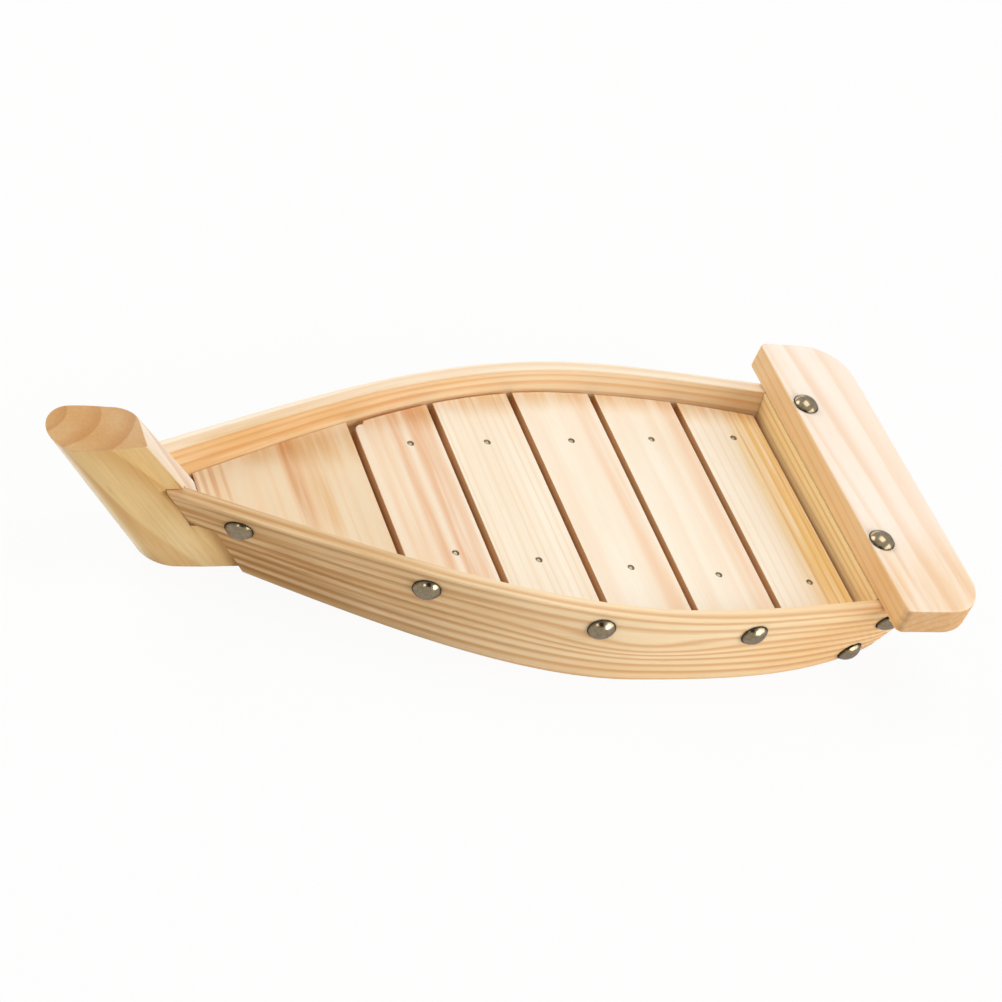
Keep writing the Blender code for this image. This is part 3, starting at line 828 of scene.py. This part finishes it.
nailSettings = {
    "radius": 0.0055,
    "rise": 0.0032,
    "lip": 0.0003,
    "shank": 0.0008,
    "shankLength": 0.0055,
    "point": 0.002,
    "bendBelow": -0.0003,
    "steps": 40,
    "domeSteps": 14,
    "weld": 0.000005,
    "sharp": 40,
    "run": 5,
    "dip": 17,
    "height": 0.0290,
    "bowSetback": 0.0118,
    "sternSetback": 0.0086,
    "heel": (0.0032, 0.0067),
    "top": (0.0057, 0.0399, 0.0503),
}

bradSettings = {
    "radius": 0.0012,
    "head": 0.0008,
    "shank": 0.00065,
    "length": 0.0135,
    "dish": 0.00018,
    "dishShare": 0.6,
    "steps": 20,
    "weld": 0.000005,
    "sharp": 40,
    "pairs": 5,
}

nailFinish = {
    "metal": tone(124, 104, 66),
    "patina": tone(44, 37, 25),
    "patinaRise": 0.42,
    "roughness": 0.18,
    "coatIor": 1.8,
    "edgeTint": tone(110, 95, 70),
    "seed": 2.0,
}

bradFinish = {
    "metal": tone(196, 182, 150),
    "patina": tone(62, 54, 34),
    "patinaRise": 0.6,
    "roughness": 0.3,
    "coatIor": 1.5,
    "edgeTint": (1, 1, 1, 1),
    "seed": 6.0,
}

# grime and scuffs that both metals share
metalWear = {
    "grimeStretch": (700, 700, 700),
    "grimeEdges": (0.35, 0.7),
    "grimeShare": -0.25,
    "scuffStretch": (2600, 900, 2600),
    "scuffSeed": 4,
    "scuffRough": 0.14,
    "wornRough": -0.06,
    "coatRough": 0.18,
    "bump": 0.15,
    "bumpDepth": 0.0001,
}

riseName = "domeRise"


def makeMetal(name, s, wear):
    material, tree, shader = newMaterial(name)
    rise = tree.nodes.new("ShaderNodeAttribute")
    rise.attribute_name = riseName
    spot = tree.nodes.new("ShaderNodeTexCoord").outputs["Object"]
    grime = ease(tree, cloudNoise(tree, spot, wear["grimeStretch"], s["seed"], 3.0), *wear["grimeEdges"])
    scuff = cloudNoise(tree, spot, wear["scuffStretch"], s["seed"] + wear["scuffSeed"])
    worn = maths(tree, "MULTIPLY", ease(tree, rise.outputs["Fac"], 0.0, s["patinaRise"]),
                 maths(tree, "MULTIPLY_ADD", grime, wear["grimeShare"], 1.0))
    tree.links.new(blendColour(tree, worn, s["patina"], s["metal"]), shader.inputs["Base Color"])
    shader.inputs["Metallic"].default_value = 1.0
    shader.inputs["Specular Tint"].default_value = s["edgeTint"]
    tree.links.new(worn, shader.inputs["Coat Weight"])
    shader.inputs["Coat IOR"].default_value = s["coatIor"]
    shader.inputs["Coat Roughness"].default_value = wear["coatRough"]
    rough = maths(tree, "MULTIPLY_ADD", scuff, wear["scuffRough"], s["roughness"])
    tree.links.new(maths(tree, "MULTIPLY_ADD", worn, wear["wornRough"], rough), shader.inputs["Roughness"])
    addBump(tree, shader, grime, wear["bump"], wear["bumpDepth"])
    return material


def turnProfile(profile, s):
    bm = bmesh.new()
    verts = [bm.verts.new((radius, 0, height)) for radius, height in profile]
    edges = [bm.edges.new(pair) for pair in zip(verts, verts[1:])]
    bmesh.ops.spin(bm, geom=verts + edges, cent=(0, 0, 0), axis=(0, 0, 1), angle=math.tau, steps=s["steps"],
                   use_merge=True)
    bmesh.ops.remove_doubles(bm, verts=bm.verts, dist=s["weld"])
    bmesh.ops.recalc_face_normals(bm, faces=bm.faces)
    return bm


def settle(piece, rises, s):
    # smooth shading, and how far up the head each point lies, for the metal's patina
    mesh = piece.data
    mesh.shade_smooth()
    mesh.set_sharp_from_angle(angle=math.radians(s["sharp"]))
    data = mesh.attributes.new(riseName, "FLOAT", "POINT").data
    for slot, rise in zip(data, rises):
        slot.value = rise


def buildNail(name, node, seat, normal, drive, s, material):
    turn = normal.to_track_quat("Z", "Y")
    local = turn.inverted() @ drive
    depth = -local.z * s["shankLength"]
    rise = s["rise"] - s["lip"]
    ball = (s["radius"]**2 + rise**2) / (2 * rise)
    spread = math.asin(s["radius"] / ball)
    profile = []
    for i in range(s["domeSteps"] + 1):
        angle = spread * i / s["domeSteps"]
        profile.append((ball * math.sin(angle), s["rise"] - ball + ball * math.cos(angle)))
    profile += [(s["radius"], 0.0), (s["shank"], 0.0), (s["shank"], s["point"] - depth), (0.0, -depth)]
    bm = turnProfile(profile, s)
    rises = [max(vert.co.z, 0) / s["rise"] for vert in bm.verts]
    for vert in bm.verts:
        if vert.co.z < s["bendBelow"]:
            vert.co.x += vert.co.z * local.x / local.z
            vert.co.y += vert.co.z * local.y / local.z
    place = Matrix.Translation(seat + normal * hull["clearance"]) @ turn.to_matrix().to_4x4()
    bmesh.ops.transform(bm, matrix=place, verts=bm.verts)
    settle(addPiece(name, bm, material, "antique_metal", node), rises, s)


def sideNailPlaces(s):
    bow = stemBack(s["height"]) + s["bowSetback"]
    stern = hull["transom"] + s["sternSetback"]
    places = [(bow + (stern - bow) * i / (s["run"] - 1), s["height"]) for i in range(s["run"])]
    return places + [(hull["transom"] + s["heel"][0], s["heel"][1])]


def buildBrad(name, node, s, material):
    low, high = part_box(node)
    profile = [(0.0, -s["dish"]), (s["radius"] * s["dishShare"], -s["dish"] * s["dishShare"]), (s["radius"], 0.0),
               (s["radius"], -s["head"]), (s["shank"], -s["head"]), (s["shank"], -s["length"]), (0.0, -s["length"])]
    bm = turnProfile(profile, s)
    rises = [1.0 - math.hypot(vert.co.x, vert.co.y) / s["radius"] for vert in bm.verts]
    bmesh.ops.translate(bm, verts=bm.verts, vec=((low.x + high.x) / 2, (low.y + high.y) / 2, high.z))
    settle(addPiece(name, bm, material, "brad_metal", node), rises, s)


nailMetal = makeMetal("antiqueNickel", nailFinish, metalWear)
bradMetal = makeMetal("bradSteel", bradFinish, metalWear)
dip = math.radians(nailSettings["dip"])
for side, label in ((-1, "port"), (1, "starboard")):
    drive = Vector((0, -side * math.cos(dip), -math.sin(dip)))
    for number, (x, z) in enumerate(sideNailPlaces(nailSettings), 1):
        buildNail("%sSideNail%d" % (label, number), "%s_side_tack_%d" % (label, number),
                  Vector((x, side * outerHalf(x, z), z)), outward(x, z, side), drive, nailSettings, nailMetal)
    aft, spread, top = nailSettings["top"]
    buildNail(label + "SternNail", label + "_stern_tack", Vector((hull["transom"] + aft, side * spread, top)),
              Vector((0, 0, 1)), Vector((0, 0, -1)), nailSettings, nailMetal)
    for number in range(1, bradSettings["pairs"] + 1):
        buildBrad("%sBrad%d" % (label, number), "%s_deck_brad_%d" % (label, number), bradSettings, bradMetal)
print("nails done")


# floor and light

lightSettings = {
    "world": 0.27,
    "floor": tone(235, 234, 231),
    "floorWidth": 12,
    "floorRough": 0.9,
    "floorWhite": 0.93,  # beside the boat, and rising to 1 over the distances below
    "whiteEdges": (0.3, 1.1),
    "hiddenMiddle": (0.06, 0.0, 0.0),  # the floor under the deck, up to the transom
    "hiddenReach": (0.139, 0.066, 1.0),
    "hiddenEdges": (0.95, 1.0),
    "hiddenAft": (0.143, 0.148),
    "panels": {
        "topPanel": {"place": (0.20, 0.10, 1.4), "aim": (0.0, 0.0, 0.0), "size": (0.9, 0.8), "power": 7.7},
        "sidePanel": {"place": (1.05, -1.0, 0.55), "aim": (0.0, 0.0, 0.03), "size": (1.2, 1.05), "power": 15.5},
        "backPanel": {"place": (-0.9, 0.9, 0.9), "aim": (0.0, 0.0, 0.03), "size": (0.8, 0.7), "power": 8},
        "leftPanel": {"place": (-1.15, -0.44, 0.20), "aim": (0.0, 0.0, 0.03), "size": (0.5, 0.34), "power": 1.9,
                      "mirrored": False},  # the metal mirrors a glowing card, a painted reflection, instead
        "rimPanel": {"place": (0.1, 1.4, 0.28), "aim": (0.0, 0.0, 0.03), "size": (1.4, 0.45), "power": 3.3},
    },
    "cards": {  # painted reflections: glowing cards for softbox highlights, and a dark one for the room's unlit side
        "darkSide": {"place": (-0.42, -1.16, 0.60), "aim": (0.0, 0.0, 0.03), "size": (0.72, 0.72),
                     "colour": tone(60, 56, 50), "level": 1.0},
        "brightSide": {"place": (0.62, -1.24, 0.30), "aim": (0.0, 0.0, 0.03), "size": (0.74, 0.58),
                       "colour": tone(255, 250, 238), "level": 12.0},
        "brightLeft": {"place": (-0.82, -0.88, 0.29), "aim": (0.0, 0.0, 0.03), "size": (0.22, 0.22),
                       "colour": tone(255, 250, 238), "level": 8.0},
    },
}


def seenRay(tree):
    # what the camera, reflections and clear pieces look at
    path = tree.nodes.new("ShaderNodeLightPath")
    seen = maths(tree, "MAXIMUM", path.outputs["Is Camera Ray"], path.outputs["Is Glossy Ray"])
    return maths(tree, "MAXIMUM", seen, path.outputs["Is Transmission Ray"])


def turnToward(place, aim):
    return (Vector(place) - Vector(aim)).to_track_quat("Z", "Y")


def flatSheet(name, size, material, place=Matrix()):
    bm = bmesh.new()
    bmesh.ops.create_grid(bm, x_segments=1, y_segments=1, size=0.5, matrix=place @ Matrix.Diagonal((*size, 1, 1)))
    return makeObject(name, bm, material)


def buildWorld(s):
    world = bpy.data.worlds.new("studio")
    scene.world = world
    world.use_nodes = True
    tree = world.node_tree
    background = tree.nodes["Background"]
    background.inputs["Color"].default_value = (1, 1, 1, 1)
    level = tree.nodes.new("ShaderNodeMapRange")
    feed(tree, level.inputs["Value"], seenRay(tree))
    feed(tree, level.inputs["To Min"], s["world"])
    feed(tree, level.inputs["To Max"], 1.0)
    tree.links.new(level.outputs["Result"], background.inputs["Strength"])


def buildFloor(s):
    material, tree, shader = newMaterial("floorPaper")
    shader.inputs["Base Color"].default_value = s["floor"]
    shader.inputs["Roughness"].default_value = s["floorRough"]
    shader.inputs["Specular IOR Level"].default_value = 0.0
    glow = tree.nodes.new("ShaderNodeEmission")
    spot = tree.nodes.new("ShaderNodeTexCoord").outputs["Object"]
    white = ease(tree, vectorMaths(tree, "LENGTH", spot), *s["whiteEdges"], s["floorWhite"], 1.0)
    # left dark under the deck, where the gaps between planks show it
    within = vectorMaths(tree, "DIVIDE", vectorMaths(tree, "SUBTRACT", spot, s["hiddenMiddle"]), s["hiddenReach"])
    abaft = ease(tree, vectorMaths(tree, "DOT_PRODUCT", spot, (1, 0, 0)), *s["hiddenAft"])
    uncovered = maths(tree, "MAXIMUM", ease(tree, vectorMaths(tree, "LENGTH", within), *s["hiddenEdges"]), abaft)
    amount = maths(tree, "MULTIPLY", seenRay(tree), maths(tree, "MULTIPLY", white, uncovered))
    blendShaders(tree, amount, shader, glow)
    floor = flatSheet("studioFloor", (s["floorWidth"], s["floorWidth"]), material)


def buildCard(name, s):
    # a glowing or dark card that only reflections see: a painted reflection on the metal
    material, tree, shader = newMaterial(name + "Cloth")
    tree.nodes.remove(shader)
    mirroredGlow = tree.nodes.new("ShaderNodeEmission")
    mirroredGlow.inputs["Color"].default_value = s["colour"]
    mirroredGlow.inputs["Strength"].default_value = s["level"]
    clear = tree.nodes.new("ShaderNodeBsdfTransparent")
    path = tree.nodes.new("ShaderNodeLightPath")
    blendShaders(tree, path.outputs["Is Glossy Ray"], clear, mirroredGlow)
    turn = turnToward(s["place"], s["aim"]).to_matrix().to_4x4()
    reflectedCard = flatSheet(name, s["size"], material, Matrix.Translation(s["place"]) @ turn)


def buildPanel(name, s):
    data = bpy.data.lights.new(name, "AREA")
    data.shape = "RECTANGLE"
    data.size, data.size_y = s["size"]
    data.energy = s["power"]
    lamp = bpy.data.objects.new(name, data)
    lamp.location = s["place"]
    lamp.rotation_euler = turnToward(s["place"], s["aim"]).to_euler()
    lamp.visible_glossy = s.get("mirrored", True)
    scene.collection.objects.link(lamp)


buildWorld(lightSettings)
buildFloor(lightSettings)
for name, card in lightSettings["cards"].items():
    buildCard(name, card)
for name, panel in lightSettings["panels"].items():
    buildPanel(name, panel)
print("stage done")
